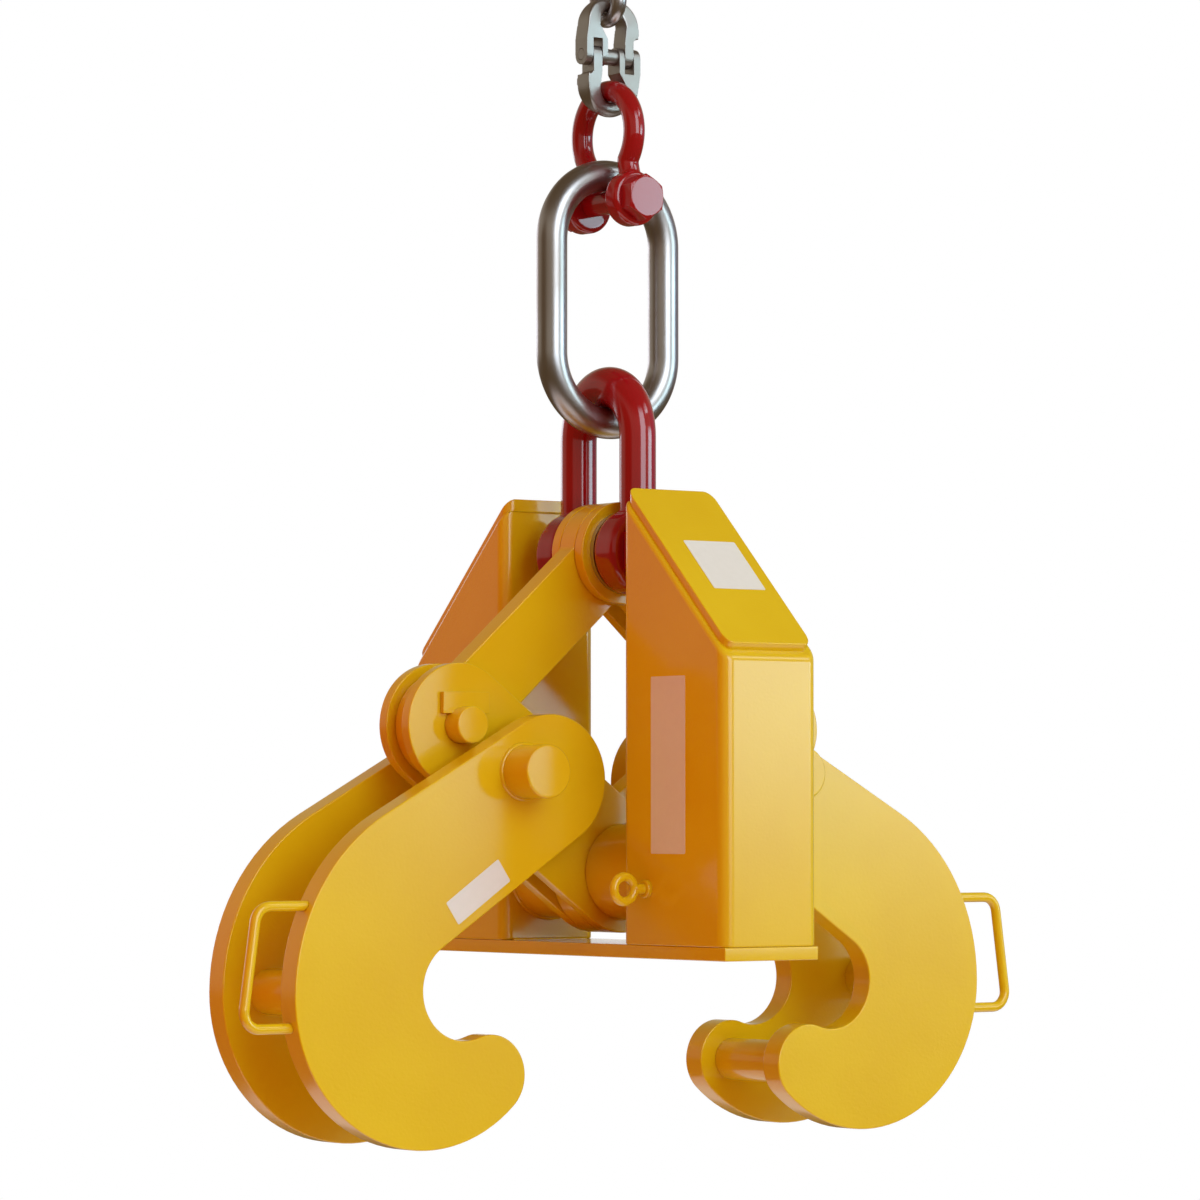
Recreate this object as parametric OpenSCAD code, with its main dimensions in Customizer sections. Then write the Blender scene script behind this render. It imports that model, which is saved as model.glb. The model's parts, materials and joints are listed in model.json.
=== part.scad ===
// Clamping beam grab on a chain and shackle suspension, in millimetres.
// The origin is the middle of the base plate's underside, which sits on the beam's top flange.
// X runs across the two hooks, Y runs along the beam from the front column to the rear one, Z is up.

/* [Columns and base] */
// Width of a column, across the hooks
column_w = 142; // [130:1:160]
// Depth of a column, along the beam
column_d = 203; // [170:1:240]
// Wall of the rectangular tube that a column is cut from
column_wall = 12.7; // [8:0.1:20]
// Outer corner radius of the tube
column_corner_r = 15; // [8:1:25]
// Clear distance between the two columns
column_gap = 246; // [240:1:300]
// Height of a column at its inner face, from the beam
column_inner_h = 568; // [520:1:620]
// Height of a column at its outer face, from the beam
column_outer_h = 371; // [330:1:420]
// Thickness of the slanted cap on a column
cap_t = 10; // [6:1:16]
// How far the cap's edge stands back from the tube's face
cap_inset = 1.5; // [0:0.5:4]
// Width of the base plate
base_w = 140; // [120:1:160]
// Thickness of the base plate
base_t = 16; // [10:1:22]

/* [Centre pivot] */
// Height of the centre shaft over the beam
pivot_z = 102; // [100:1:130]
// Diameter of the centre shaft
shaft_d = 63.5; // [50:0.5:70]
// Outer diameter of the pivot tubes between the links and the columns
pivot_tube_d = 118; // [100:1:125]

/* [Links] */
// Thickness of a link that runs single, down the middle
single_t = 30; // [24:1:32]
// Thickness of each plate of a link that runs as a pair
pair_t = 16; // [12:1:18]
// Running gap between neighbouring plates
plate_gap = 1; // [0.5:0.1:2]
// Distance between the pins of a lower link
lower_len = 300; // [290:1:320]
// Slope of the lower links over the horizontal, in degrees
lower_slope = 36.1; // [30:0.1:42]
// Width of a lower link
lower_w = 150; // [130:1:160]
// Distance between the pins of an upper link
upper_len = 323.5; // [310:0.5:345]
// Width of an upper link's shank
shank_w = 91; // [70:1:100]
// Radius of an upper link's round eyes
eye_r = 63; // [58:1:66]
// Radius of the fillet between eye and shank
eye_fillet = 12; // [6:1:20]
// Diameter of the knuckle pins between upper and lower links
knuckle_d = 44.5; // [36:0.5:50]
// How far a knuckle pin stands out of the links on each side
knuckle_reach = 27; // [22:1:28]
// Length of the welded keeper plate that locks a knuckle pin
keeper_len = 67; // [50:1:80]
// Width of the keeper plate
keeper_w = 26; // [18:1:30]
// Thickness of the keeper plate
keeper_t = 7; // [5:0.5:10]
// How far the keeper reaches into the pin's notch
keeper_bite = 8.5; // [4:0.5:12]
// How far the keeper sits off the pin's centre, toward the middle
keeper_shift = 4; // [0:0.5:10]
// Wall of the bronze bushes
bush_wall = 5; // [3:0.5:7]
// Outer diameter of the rings that centre the upper links on the shackle's bolt
pin_spacer_d = 102; // [80:1:110]

/* [Hooks] */
// Thickness of a hook plate
hook_t = 32; // [24:1:36]
// Clear distance between the two plates of a hook
hook_gap = 126; // [124:1:140]
// Radius of a hook's upper end
hook_end_r = 79; // [70:1:82]
// Distance of the upper end's centre from the centre shaft, along the lower link
hook_end_at = 188.4; // [185:0.1:200]
// Depth of a hook from the throat's centre to the widest point of its back
hook_depth = 238; // [225:1:255]
// Height of the widest point of the back under the centre shaft
hook_widest_drop = 140; // [120:1:160]
// Radius of the back over its widest point
hook_back_r = 240; // [210:1:270]
// Radius of the throat that takes the flange's edge
throat_r = 59.7; // [50:0.1:65]
// Distance of the throat's centre from the middle
throat_x = 278; // [265:1:290]
// Height of the throat's centre under the centre shaft
throat_drop = 137.4; // [130:0.1:145]
// Radius of the toe that bears under the flange
toe_r = 49; // [44:1:54]
// How far the toe lies inward of straight under the throat's centre, in degrees
toe_swing = 20; // [14:0.5:26]
// Diameter of the round bar that joins the toes
toe_bar_d = 53; // [40:1:60]
// Diameter of the round bar that joins the heels
heel_bar_d = 54; // [40:1:60]
// Distance of the heel bar from the widest point of the back
heel_bar_inset = 63; // [50:1:75]
// Diameter of the spacer that joins a hook to its lower link
spacer_d = 84; // [70:1:88]
// Diameter of the stop pegs
peg_d = 64; // [50:1:70]
// How far a stop peg stands out of its hook
peg_reach = 52; // [40:1:58]
// Distance of a stop peg from the middle
peg_x = 194.3; // [185:0.1:200]
// Height of a stop peg over the centre shaft
peg_rise = 120.7; // [110:0.1:130]

/* [Handles] */
// Diameter of the bent rod
handle_rod_d = 12.7; // [8:0.1:16]
// How far the grip stands off the hook's back
handle_reach = 66; // [45:1:75]
// Height of the handle's upper leg under the centre shaft
handle_top_drop = 36; // [20:1:60]
// Height of the handle's lower leg under the centre shaft
handle_bottom_drop = 177; // [160:1:190]
// Radius of the handle's two bends
handle_bend_r = 20; // [14:1:28]

/* [Main shackle] */
// Diameter of the shackle's bar at its legs
shackle_bar_d = 44.5; // [38:0.5:46]
// Thickness of the bow at its crown
shackle_crown_t = 51; // [46:0.5:56]
// Clear width between the legs
shackle_gap = 78.5; // [77:0.5:84]
// Diameter of the shackle's bolt
shackle_pin_d = 50.8; // [44:0.1:52]
// Radius of the shackle's ears
shackle_ear_r = 54; // [46:1:58]
// Height of the bow's centre over the bolt
shackle_bow_h = 141.5; // [132:0.5:160]
// Width across the flats of the bolt's head and nut
shackle_hex = 76; // [64:1:90]
// Thickness of the bolt's head
shackle_head_t = 22; // [14:1:28]
// Thickness of the nut
shackle_nut_t = 14; // [10:1:30]
// How far the bolt stands out of its nut
shackle_tail = 12; // [10:1:20]
// Diameter of the cotter through the bolt's end
shackle_cotter_d = 6; // [3:0.5:8]

/* [Master link] */
// Diameter of the link's bar
master_bar_d = 38; // [32:1:42]
// Inside length
master_in_l = 270; // [250:1:290]
// Inside width
master_in_w = 133; // [120:1:145]

/* [Upper tackle] */
// Diameter of the small shackle's bar
bow_bar_d = 26; // [22:1:28]
// Clear width between the small shackle's ears
bow_jaw = 72; // [60:1:76]
// Clear width of the small shackle's bow at its widest
bow_in_w = 79; // [74:1:86]
// Height from the small shackle's bolt to the inside of its bow
bow_in_h = 126; // [115:1:140]
// Diameter of the small shackle's bolt
bow_bolt_d = 28.7; // [24:0.1:32]
// Radius of the small shackle's ears
bow_ear_r = 34; // [28:1:36]
// Width across the flats of its bolt's head and nut
bow_hex = 49.5; // [42:0.5:56]
// Thickness of the head and of the nut
bow_head_t = 20; // [12:1:26]
// How far the bolt stands out of its nut
bow_tail = 8; // [7:0.5:16]
// Diameter of the cotter through the bolt's end
bow_cotter_d = 4.8; // [2.5:0.1:6]
// Diameter of the coupling link's bar
coupler_bar_d = 19; // [16:0.5:20]
// Clear width inside the coupling link
coupler_in_w = 39; // [38:0.5:44]
// Distance from the coupling's pin to the inside of a bow
coupler_half_h = 56; // [54:0.5:62]
// Thickness of the coupling's lugs
lug_t = 25; // [20:1:26]
// Thickness of the fork's outer cheek
cheek_out = 10; // [7:0.5:11]
// Thickness of the fork's inner cheek
cheek_in = 8; // [5:0.5:9]
// How far the tongue and the fork's slot lie inside the bow's legs
tongue_inset = 5; // [2:0.5:6]
// Width of the tongue that fits in the slot
tongue_w = 13; // [10:0.5:15]
// Wall of the bushing between the lugs
bushing_wall = 3; // [2:0.5:4]
// Diameter of the coupling's load pin
load_pin_d = 14; // [10:0.5:16]
// Diameter of the chain's bar
chain_bar_d = 19; // [16:0.5:20]
// Inside width of a chain link
chain_in_w = 27; // [26:0.5:30]
// Inside length of a chain link
chain_in_l = 60; // [56:1:66]

/* [Tag line eye] */
// Outer diameter of the eye bolt's ring
eye_ring_d = 38.5; // [30:0.5:44]
// Diameter of its wire
eye_wire_d = 9; // [6:0.5:10]
// Diameter of its shank
eye_shank_d = 11; // [8:0.5:14]
// Diameter of the collar against the column
eye_collar_d = 20; // [16:1:28]
// Thickness of the collar
eye_collar_t = 5; // [3:0.5:8]
// Distance of the ring's centre from the column
eye_reach = 34; // [26:1:40]
// Height of the eye over the beam
eye_z = 83; // [70:1:110]
// Distance of the eye from the column's outer face
eye_back = 151; // [120:1:170]

/* [Hidden] */
$fn = 64;
run = 0.05;              // radial clearance of a pin in its bore
seat = 0.3;              // gap between curved pieces that only rest on each other
side_play = 0.5;         // gap on each side of the coupling's tongue
open_play = 4.2;         // radial clearance of the single lower link on the centre shaft
cut = 1;                 // how far a cutting shape runs past the face that it opens
lap = 0.5;               // how far a bar runs into the shape that it joins
arc_step = 4;            // degrees between the points of a profile's arcs
bow_step = 7.5;          // degrees between the rings of the main shackle's bow
bow_sides = 24;          // flats round the main shackle's bar
small_bow_step = 10;     // degrees between the rings of the small shackle's bow
small_bow_sides = 20;    // flats round the small shackle's bar
handle_step = 15;        // degrees between the rings of a handle's bends
handle_sides = 12;       // flats round a handle's rod
handle_root = 2;         // how far a handle's legs are drawn into the hook, in rod diameters
least_corner_r = 2;      // smallest corner radius inside the columns' tube
ear_round_share = 0.2;   // rounding of an ear's rims, as a share of the ear's thickness
bow_foot = -20;          // where the small shackle's bow ends and its legs start, in degrees
cotter_reach = 8;        // how far a cotter stands out of its bolt
hex_face_share = 0.95;   // diameter of a hexagon's flat end face, as a share of its width
hex_slope = 30;          // slope of a hexagon's turned corners, in degrees
lug_gap = 8;             // room between a lug's round end and the other half's shoulder

paint = "gold";
shackle_red = "firebrick";
steel = "silver";
bronze = "darkgoldenrod";

// Layers along Y: the single plate, then the plates of a pair, then the hooks
single_y = single_t / 2;
pair_in_y = single_y + plate_gap;
pair_out_y = pair_in_y + pair_t;
hook_in_y = hook_gap / 2;
hook_out_y = hook_in_y + hook_t;
column_in_y = column_gap / 2;
column_out_y = column_in_y + column_d;
knuckle_end_y = pair_out_y + knuckle_reach;
peg_end_y = hook_out_y + peg_reach;

// Pin centres in the XZ plane, for the right side
centre = [0, pivot_z];
knuckle = centre + lower_len * [cos(lower_slope), sin(lower_slope)];
top_pin = [0, knuckle[1] + sqrt(pow(upper_len, 2) - pow(knuckle[0], 2))];
upper_slope = atan2(top_pin[1] - knuckle[1], knuckle[0]);
shaft_r = shaft_d / 2;
knuckle_r = knuckle_d / 2;
notch_z = knuckle[1] + knuckle_r - keeper_bite;
top_pin_r = shackle_pin_d / 2;

// Hook outline, for the right side: its circles, and the normals of the two straight edges
hook_end = centre + hook_end_at * [cos(lower_slope), sin(lower_slope)];
hook_reach = throat_x + hook_depth;
hook_widest = [hook_reach, pivot_z - hook_widest_drop];
hook_back = hook_widest - [hook_back_r, 0];
throat = [throat_x, pivot_z - throat_drop];
toe = throat - (throat_r + toe_r) * [sin(toe_swing), cos(toe_swing)];
hook_heel_r = heel_radius(hook_widest - toe, toe_r);
hook_heel = hook_widest - [hook_heel_r, 0];
back_normal = bearing(hook_back - hook_end)
    + acos((hook_end_r - hook_back_r) / norm(hook_back - hook_end));
belly_normal = bearing(throat - hook_end)
    - acos((hook_end_r + throat_r) / norm(throat - hook_end));
toe_turn = bearing(toe - hook_heel);
lip_turn = 90 - toe_swing;
peg = [peg_x, pivot_z + peg_rise];
heel_bar = hook_widest - [heel_bar_inset, 0];

// Heights of the suspension, each piece hanging from the one above it
shackle_bow_z = top_pin[1] + shackle_bow_h;
shackle_in_r = shackle_gap / 2;
shackle_side_y = shackle_in_r + shackle_bar_d;
master_bar_r = master_bar_d / 2;
master_low_z = shackle_bow_z + shackle_in_r - master_bar_r - seat;
master_end_r = master_in_w / 2 + master_bar_r;
master_high_z = master_low_z + master_in_l + master_bar_d;
bow_bolt_z = master_high_z - master_bar_r - bow_bolt_d / 2 - seat;
bow_bolt_r = bow_bolt_d / 2;
bow_side_y = bow_jaw / 2 + bow_bar_d;
bow_in_z = bow_bolt_z + bow_in_h;
coupler_bar_r = coupler_bar_d / 2;
coupler_low_z = bow_in_z - coupler_bar_r - seat;
load_pin_z = coupler_low_z - coupler_bar_r + coupler_bar_d + coupler_half_h;
coupler_high_z = load_pin_z + coupler_half_h;
chain_bar_r = chain_bar_d / 2;
chain_low_z = coupler_high_z - chain_bar_r - seat;

// Direction of a vector, in degrees
function bearing(v) = atan2(v[1], v[0]);

// Points of an arc, clockwise where the second angle is the smaller one
function arc(c, r, from, to, step = arc_step) =
    let (n = max(2, ceil(abs(to - from) / step)))
    [for (i = [0:n]) c + r * [cos(from + (to - from) * i / n), sin(from + (to - from) * i / n)]];

// Radius of the arc that leaves the hook's widest point upright and runs into the toe's round.
// span goes from the toe's centre to the widest point.
function heel_radius(span, r) = (span * span - r * r) / (2 * (span[0] - r));

// A ring of points round a path's point, square to the path
function ring(at, along, across, r, sides) =
    let (side = cross(along, across))
    [for (k = [0:sides - 1]) at + r * (cos(360 * k / sides) * across + sin(360 * k / sides) * side)];

// A bar swept along points; across is a direction square to the whole path
module swept_bar(path, radii, across, sides) {
    n = len(path);
    rings = [for (i = [0:n - 1])
        let (t = path[min(i + 1, n - 1)] - path[max(i - 1, 0)])
        each ring(path[i], t / norm(t), across, radii[i], sides)];
    walls = [for (i = [0:n - 2]) for (k = [0:sides - 1])
        [i * sides + k, (i + 1) * sides + k, (i + 1) * sides + (k + 1) % sides, i * sides + (k + 1) % sides]];
    ends = [[for (k = [0:sides - 1]) k], [for (k = [sides - 1:-1:0]) (n - 1) * sides + k]];
    polyhedron(rings, concat(walls, ends));
}

// A flat shape in the XZ plane, as a plate from y0 to y1
module plate(y0, y1) {
    translate([0, y1, 0]) rotate([90, 0, 0]) linear_extrude(y1 - y0) children();
}

// A round bar along Y through a point of the XZ plane
module bar_y(at, r, y0, y1, fn = 64) {
    translate([at[0], y1, at[1]]) rotate([90, 0, 0]) cylinder(h = y1 - y0, r = r, $fn = fn);
}

// A bush or tube along Y
module tube_y(at, r_out, r_in, y0, y1) {
    difference() {
        bar_y(at, r_out, y0, y1);
        bar_y(at, r_in, y0 - cut, y1 + cut);
    }
}

module both_sides_y() {
    children();
    mirror([0, 1, 0]) children();
}

module on_left() {
    mirror([1, 0, 0]) children();
}

// Columns and base

module column_outline(inset) {
    w = column_w / 2 - inset;
    d = column_d - 2 * inset;
    r = max(column_corner_r - inset, least_corner_r);
    translate([0, inset]) union() {
        translate([-w + r, 0]) square([2 * (w - r), d]);
        translate([-w, r]) square([2 * w, d - 2 * r]);
        for (x = [-w + r, w - r], y = [r, d - r]) translate([x, y]) circle(r);
    }
}

// Everything over the slanted plane, which is lowered square to itself by drop
module over_slant(drop) {
    slant = atan2(column_inner_h - column_outer_h, column_d);
    translate([0, 0, column_inner_h]) rotate([-slant, 0, 0])
        translate([-column_w, -column_d, -drop]) cube([2 * column_w, 3 * column_d, 2 * column_d]);
}

module column() {
    color(paint) translate([0, column_in_y, 0]) difference() {
        translate([0, 0, base_t]) linear_extrude(column_inner_h) column_outline(0);
        translate([0, 0, base_t - cut]) linear_extrude(column_inner_h + 2 * cut) column_outline(column_wall);
        over_slant(cap_t);
    }
}

module column_cap() {
    color(paint) translate([0, column_in_y, 0]) difference() {
        intersection() {
            translate([0, 0, base_t]) linear_extrude(column_inner_h) column_outline(cap_inset);
            over_slant(cap_t);
        }
        over_slant(0);
    }
}

module base_plate() {
    color(paint) translate([-base_w / 2, -column_out_y, 0]) cube([base_w, 2 * column_out_y, base_t]);
}

module pivot_tube() {
    color(paint) tube_y(centre, pivot_tube_d / 2, shaft_r + run, pair_out_y + plate_gap, column_in_y);
}

module centre_shaft() {
    end_y = column_in_y - seat;
    color(steel) bar_y(centre, shaft_r, -end_y, end_y);
}

module eye_bolt() {
    ring_r = (eye_ring_d - eye_wire_d) / 2;
    shank_l = eye_reach - ring_r;
    color(paint) translate([-column_w / 2, -column_out_y + eye_back, eye_z]) {
        translate([-eye_reach, 0, 0]) rotate([90, 0, 0])
            rotate_extrude() translate([ring_r, 0]) circle(d = eye_wire_d, $fn = 24);
        translate([-shank_l, 0, 0]) rotate([0, 90, 0]) cylinder(h = shank_l, d = eye_shank_d);
        translate([-eye_collar_t, 0, 0]) rotate([0, 90, 0]) cylinder(h = eye_collar_t, d = eye_collar_d);
    }
}

// Links

// Outline of a bar with round eyes at both ends, the first at the origin, the second along +X
function eye_bar(length, r, half_w, fillet) =
    let (reach = sqrt(pow(r + fillet, 2) - pow(half_w + fillet, 2)), turn = atan2(half_w + fillet, reach),
         first = concat(arc([0, 0], r, 360 - turn, turn),
                        arc([reach, half_w + fillet], fillet, 180 + turn, 270)),
         upper = concat(first, [for (i = [len(first) - 1:-1:0]) [length - first[i][0], first[i][1]]]),
         half = [for (p = upper) if (p[1] > 0) p])
    concat([[-r, 0]], half, [[length + r, 0]], [for (i = [len(half) - 1:-1:0]) [half[i][0], -half[i][1]]]);

module upper_link(y0, y1, top_bore_r, knuckle_bore_r) {
    difference() {
        plate(y0, y1) translate(top_pin) rotate(-upper_slope)
            polygon(eye_bar(upper_len, eye_r, shank_w / 2, eye_fillet));
        bar_y(top_pin, top_bore_r, y0 - cut, y1 + cut);
        bar_y(knuckle, knuckle_bore_r, y0 - cut, y1 + cut);
    }
}

module lower_link(y0, y1, centre_bore_r, knuckle_bore_r) {
    r = lower_w / 2;
    difference() {
        union() {
            bar_y(centre, r, y0, y1, 96);
            bar_y(knuckle, r, y0, y1, 96);
            plate(y0, y1) translate(centre) rotate(lower_slope)
                translate([0, -r]) square([lower_len, lower_w]);
        }
        bar_y(centre, centre_bore_r, y0 - cut, y1 + cut);
        bar_y(knuckle, knuckle_bore_r, y0 - cut, y1 + cut);
        bar_y(hook_end, spacer_d / 2 + run, y0 - cut, y1 + cut);
    }
}

module knuckle_pin() {
    color(paint) difference() {
        bar_y(knuckle, knuckle_r, -knuckle_end_y, knuckle_end_y);
        both_sides_y() translate([knuckle[0] - knuckle_r, pair_out_y, notch_z])
            cube([knuckle_d, keeper_t + run, knuckle_d]);
    }
}

module pin_keepers() {
    x = knuckle[0] - keeper_shift - keeper_len / 2;
    color(paint) both_sides_y()
        translate([x, pair_out_y, notch_z + run]) cube([keeper_len, keeper_t, keeper_w]);
}

// Hooks

function hook_outline() = concat(
    arc(hook_end, hook_end_r, belly_normal + 360, back_normal),
    arc(hook_back, hook_back_r, back_normal, 0),
    arc(hook_heel, hook_heel_r, 0, toe_turn),
    arc(toe, toe_r, toe_turn, lip_turn - 360),
    arc(throat, throat_r, lip_turn - 180, belly_normal + 180));

module hook() {
    color(paint) difference() {
        plate(hook_in_y, hook_out_y) polygon(hook_outline());
        bar_y(peg, peg_d / 2 + run, hook_in_y - cut, hook_out_y + cut);
    }
}

module hook_spacer() {
    color(paint) bar_y(hook_end, spacer_d / 2, -hook_in_y, hook_in_y);
}

module stop_pegs() {
    color(paint) both_sides_y() bar_y(peg, peg_d / 2, hook_in_y, peg_end_y);
}

module toe_bar() {
    color(paint) bar_y(toe, toe_bar_d / 2, -hook_in_y, hook_in_y);
}

module heel_bar() {
    color(paint) bar_y(heel_bar, heel_bar_d / 2, -hook_in_y, hook_in_y);
}

// Centre of the bend between two lines that meet at a corner, given their outward normals
function bend_centre(corner, a, b, r) =
    corner - r * ([cos(a), sin(a)] + [cos(b), sin(b)]) / (1 + cos(a - b));

// The handle's legs are cut to the back of the front hook plate
module handle() {
    y = (hook_in_y + hook_out_y) / 2;
    top_z = pivot_z - handle_top_drop;
    low_z = pivot_z - handle_bottom_drop;
    top_x = hook_back[0] + sqrt(pow(hook_back_r, 2) - pow(top_z - hook_back[1], 2));
    low_x = hook_heel[0] + sqrt(pow(hook_heel_r, 2) - pow(low_z - hook_heel[1], 2));
    grip_top = [top_x + handle_reach, top_z];
    grip_low = [low_x + handle_reach, low_z];
    face = bearing(grip_top - grip_low) - 90;
    root = handle_root * handle_rod_d;
    path = concat([[top_x - root, top_z]],
        arc(bend_centre(grip_top, 90, face, handle_bend_r), handle_bend_r, 90, face, handle_step),
        arc(bend_centre(grip_low, face, -90, handle_bend_r), handle_bend_r, face, -90, handle_step),
        [[low_x - root, low_z]]);
    color(paint) difference() {
        swept_bar([for (p = path) [p[0], -y, p[1]]], [for (p = path) handle_rod_d / 2], [0, 1, 0],
                  handle_sides);
        plate(-hook_out_y - cut, -hook_in_y + cut) polygon(hook_outline());
    }
}

// Main shackle

// A hexagon whose corners are turned down at the end that looks along out
module hex_end(at, y0, y1, across_flats, out) {
    face_r = hex_face_share * across_flats / 2;
    corner_r = across_flats / 2 / cos(30);
    wide_r = corner_r + lap;
    h = y1 - y0;
    side_h = h - (wide_r - face_r) * tan(hex_slope);
    translate([at[0], (y0 + y1) / 2, at[1]]) rotate([-90 * out, 0, 0]) intersection() {
        rotate(30) cylinder(h = h, r = corner_r, center = true, $fn = 6);
        translate([0, 0, -h / 2]) rotate_extrude()
            polygon([[0, 0], [wide_r, 0], [wide_r, side_h], [face_r, h], [0, h]]);
    }
}

module ear(at, r, bore_r, y0, y1) {
    edge = ear_round_share * (y1 - y0);
    difference() {
        translate([at[0], y1, at[1]]) rotate([90, 0, 0]) rotate_extrude($fn = 72)
            polygon(concat([[0, 0]], arc([r - edge, edge], edge, -90, 0),
                           arc([r - edge, y1 - y0 - edge], edge, 0, 90), [[0, y1 - y0]]));
        bar_y(at, bore_r, y0 - cut, y1 + cut);
    }
}

module main_shackle_bow() {
    r = shackle_bar_d / 2;
    swell = (shackle_crown_t - shackle_bar_d) / 2;
    leg_y = shackle_in_r + r;
    turns = [for (a = [0:bow_step:180]) a];
    radii = [for (a = turns) r + swell * pow(sin(a), 2)];
    bow = [for (i = [0:len(turns) - 1])
        let (reach = shackle_in_r + radii[i])
        [0, reach * cos(turns[i]), shackle_bow_z + reach * sin(turns[i])]];
    color(shackle_red) union() {
        swept_bar(bow, radii, [1, 0, 0], bow_sides);
        both_sides_y() difference() {
            translate([0, leg_y, top_pin[1]]) cylinder(h = shackle_bow_h + lap, r = r);
            bar_y(top_pin, top_pin_r + run, 0, 2 * leg_y);
        }
        both_sides_y() ear(top_pin, shackle_ear_r, top_pin_r + run, shackle_in_r, shackle_side_y);
    }
}

// A bolt with its head at the front, drilled for a cotter between its nut and its end
module drilled_bolt(at, r, side_y, head_t, hex, nut_t, tail, cotter_d) {
    end_y = side_y + nut_t + tail;
    color(shackle_red) difference() {
        union() {
            bar_y(at, r, -side_y - lap, end_y);
            hex_end(at, -side_y - head_t, -side_y, hex, -1);
        }
        translate([at[0], end_y - tail / 2, at[1]])
            cylinder(h = 2 * (r + cut), r = cotter_d / 2 + run, center = true);
    }
}

module hex_nut(at, bore_r, y0, y1, hex) {
    color(shackle_red) difference() {
        hex_end(at, y0, y1, hex, 1);
        bar_y(at, bore_r, y0 - cut, y1 + cut);
    }
}

// A cotter stands upright through a bolt, with its eye on top
module cotter(at, y, bolt_r, rod_d) {
    color(steel) translate([at[0], y, at[1]]) {
        cylinder(h = 2 * (bolt_r + cotter_reach), d = rod_d, center = true);
        translate([0, 0, bolt_r + cotter_reach + rod_d]) rotate([90, 0, 0])
            rotate_extrude() translate([rod_d, 0]) circle(d = rod_d);
    }
}

module main_shackle_bolt() {
    drilled_bolt(top_pin, top_pin_r, shackle_side_y, shackle_head_t, shackle_hex, shackle_nut_t, shackle_tail,
                 shackle_cotter_d);
}

module main_shackle_nut() {
    hex_nut(top_pin, top_pin_r + run, shackle_side_y, shackle_side_y + shackle_nut_t, shackle_hex);
}

module main_shackle_cotter() {
    cotter(top_pin, shackle_side_y + shackle_nut_t + shackle_tail / 2, top_pin_r, shackle_cotter_d);
}

module pin_spacers() {
    color(steel) both_sides_y()
        tube_y(top_pin, pin_spacer_d / 2, top_pin_r + run, pair_out_y + seat, shackle_in_r - seat);
}

// Master link

module oblong_link(low_z, in_l, in_w, bar_d, turn) {
    half_w = (in_w + bar_d) / 2;
    high_z = low_z + in_l + bar_d;
    rotate([0, 0, turn]) {
        for (end = [[low_z + half_w, 180], [high_z - half_w, 0]])
            translate([0, 0, end[0]]) rotate([90, end[1], 0])
                rotate_extrude(angle = 180) translate([half_w, 0]) circle(d = bar_d, $fn = 48);
        for (x = [-half_w, half_w]) translate([x, 0, low_z + half_w])
            cylinder(h = high_z - low_z - 2 * half_w, d = bar_d, $fn = 48);
    }
}

// Upper tackle

module small_shackle_bow() {
    r = bow_bar_d / 2;
    ear_y = bow_jaw / 2 + r;
    ear_top_z = bow_bolt_z + bow_ear_r - r;
    reach = bow_in_w / 2 + r;
    bow_z = bow_in_z - bow_in_w / 2;
    bow = [for (a = [bow_foot:small_bow_step:180 - bow_foot]) [reach * cos(a), bow_z + reach * sin(a)]];
    path = concat([[ear_y, bow_bolt_z], [ear_y, ear_top_z]], bow,
                  [[-ear_y, ear_top_z], [-ear_y, bow_bolt_z]]);
    color(shackle_red) difference() {
        union() {
            swept_bar([for (p = path) [0, p[0], p[1]]], [for (p = path) r], [1, 0, 0], small_bow_sides);
            both_sides_y() ear([0, bow_bolt_z], bow_ear_r, bow_bolt_r + run, bow_jaw / 2, bow_side_y);
        }
        bar_y([0, bow_bolt_z], bow_bolt_r + run, -bow_side_y - cut, bow_side_y + cut);
    }
}

module small_shackle_bolt() {
    drilled_bolt([0, bow_bolt_z], bow_bolt_r, bow_side_y, bow_head_t, bow_hex, bow_head_t, bow_tail,
                 bow_cotter_d);
}

module small_shackle_nut() {
    hex_nut([0, bow_bolt_z], bow_bolt_r + run, bow_side_y, bow_side_y + bow_head_t, bow_hex);
}

module small_shackle_cotter() {
    cotter([0, bow_bolt_z], bow_side_y + bow_head_t + bow_tail / 2, bow_bolt_r, bow_cotter_d);
}

coupler_leg_x = coupler_in_w / 2 + coupler_bar_r;
coupler_bow_z = coupler_half_h - coupler_in_w / 2;
tongue_x = coupler_leg_x - tongue_inset;
slot_w = tongue_w + 2 * side_play;
fork_out_x = tongue_x + slot_w / 2 + cheek_out;
fork_in_x = tongue_x - slot_w / 2 - cheek_in;
tongue_in_x = tongue_x - tongue_w / 2;
tongue_out_x = tongue_x + tongue_w / 2;
lug_r = lug_t / 2;
shoulder_z = lug_r + lug_gap;
load_pin_r = load_pin_d / 2;

// A round bar along X, from x0 to x1
module bar_x(x0, x1, r) {
    translate([x0, 0, 0]) rotate([0, 90, 0]) cylinder(h = x1 - x0, r = r);
}

// A flat forged lug from its outline in the XZ plane, with a round end about the pin
module lug(outline) {
    plate(-lug_r, lug_r) polygon(outline);
    bar_x(outline[0][0], outline[1][0], lug_r);
}

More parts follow.
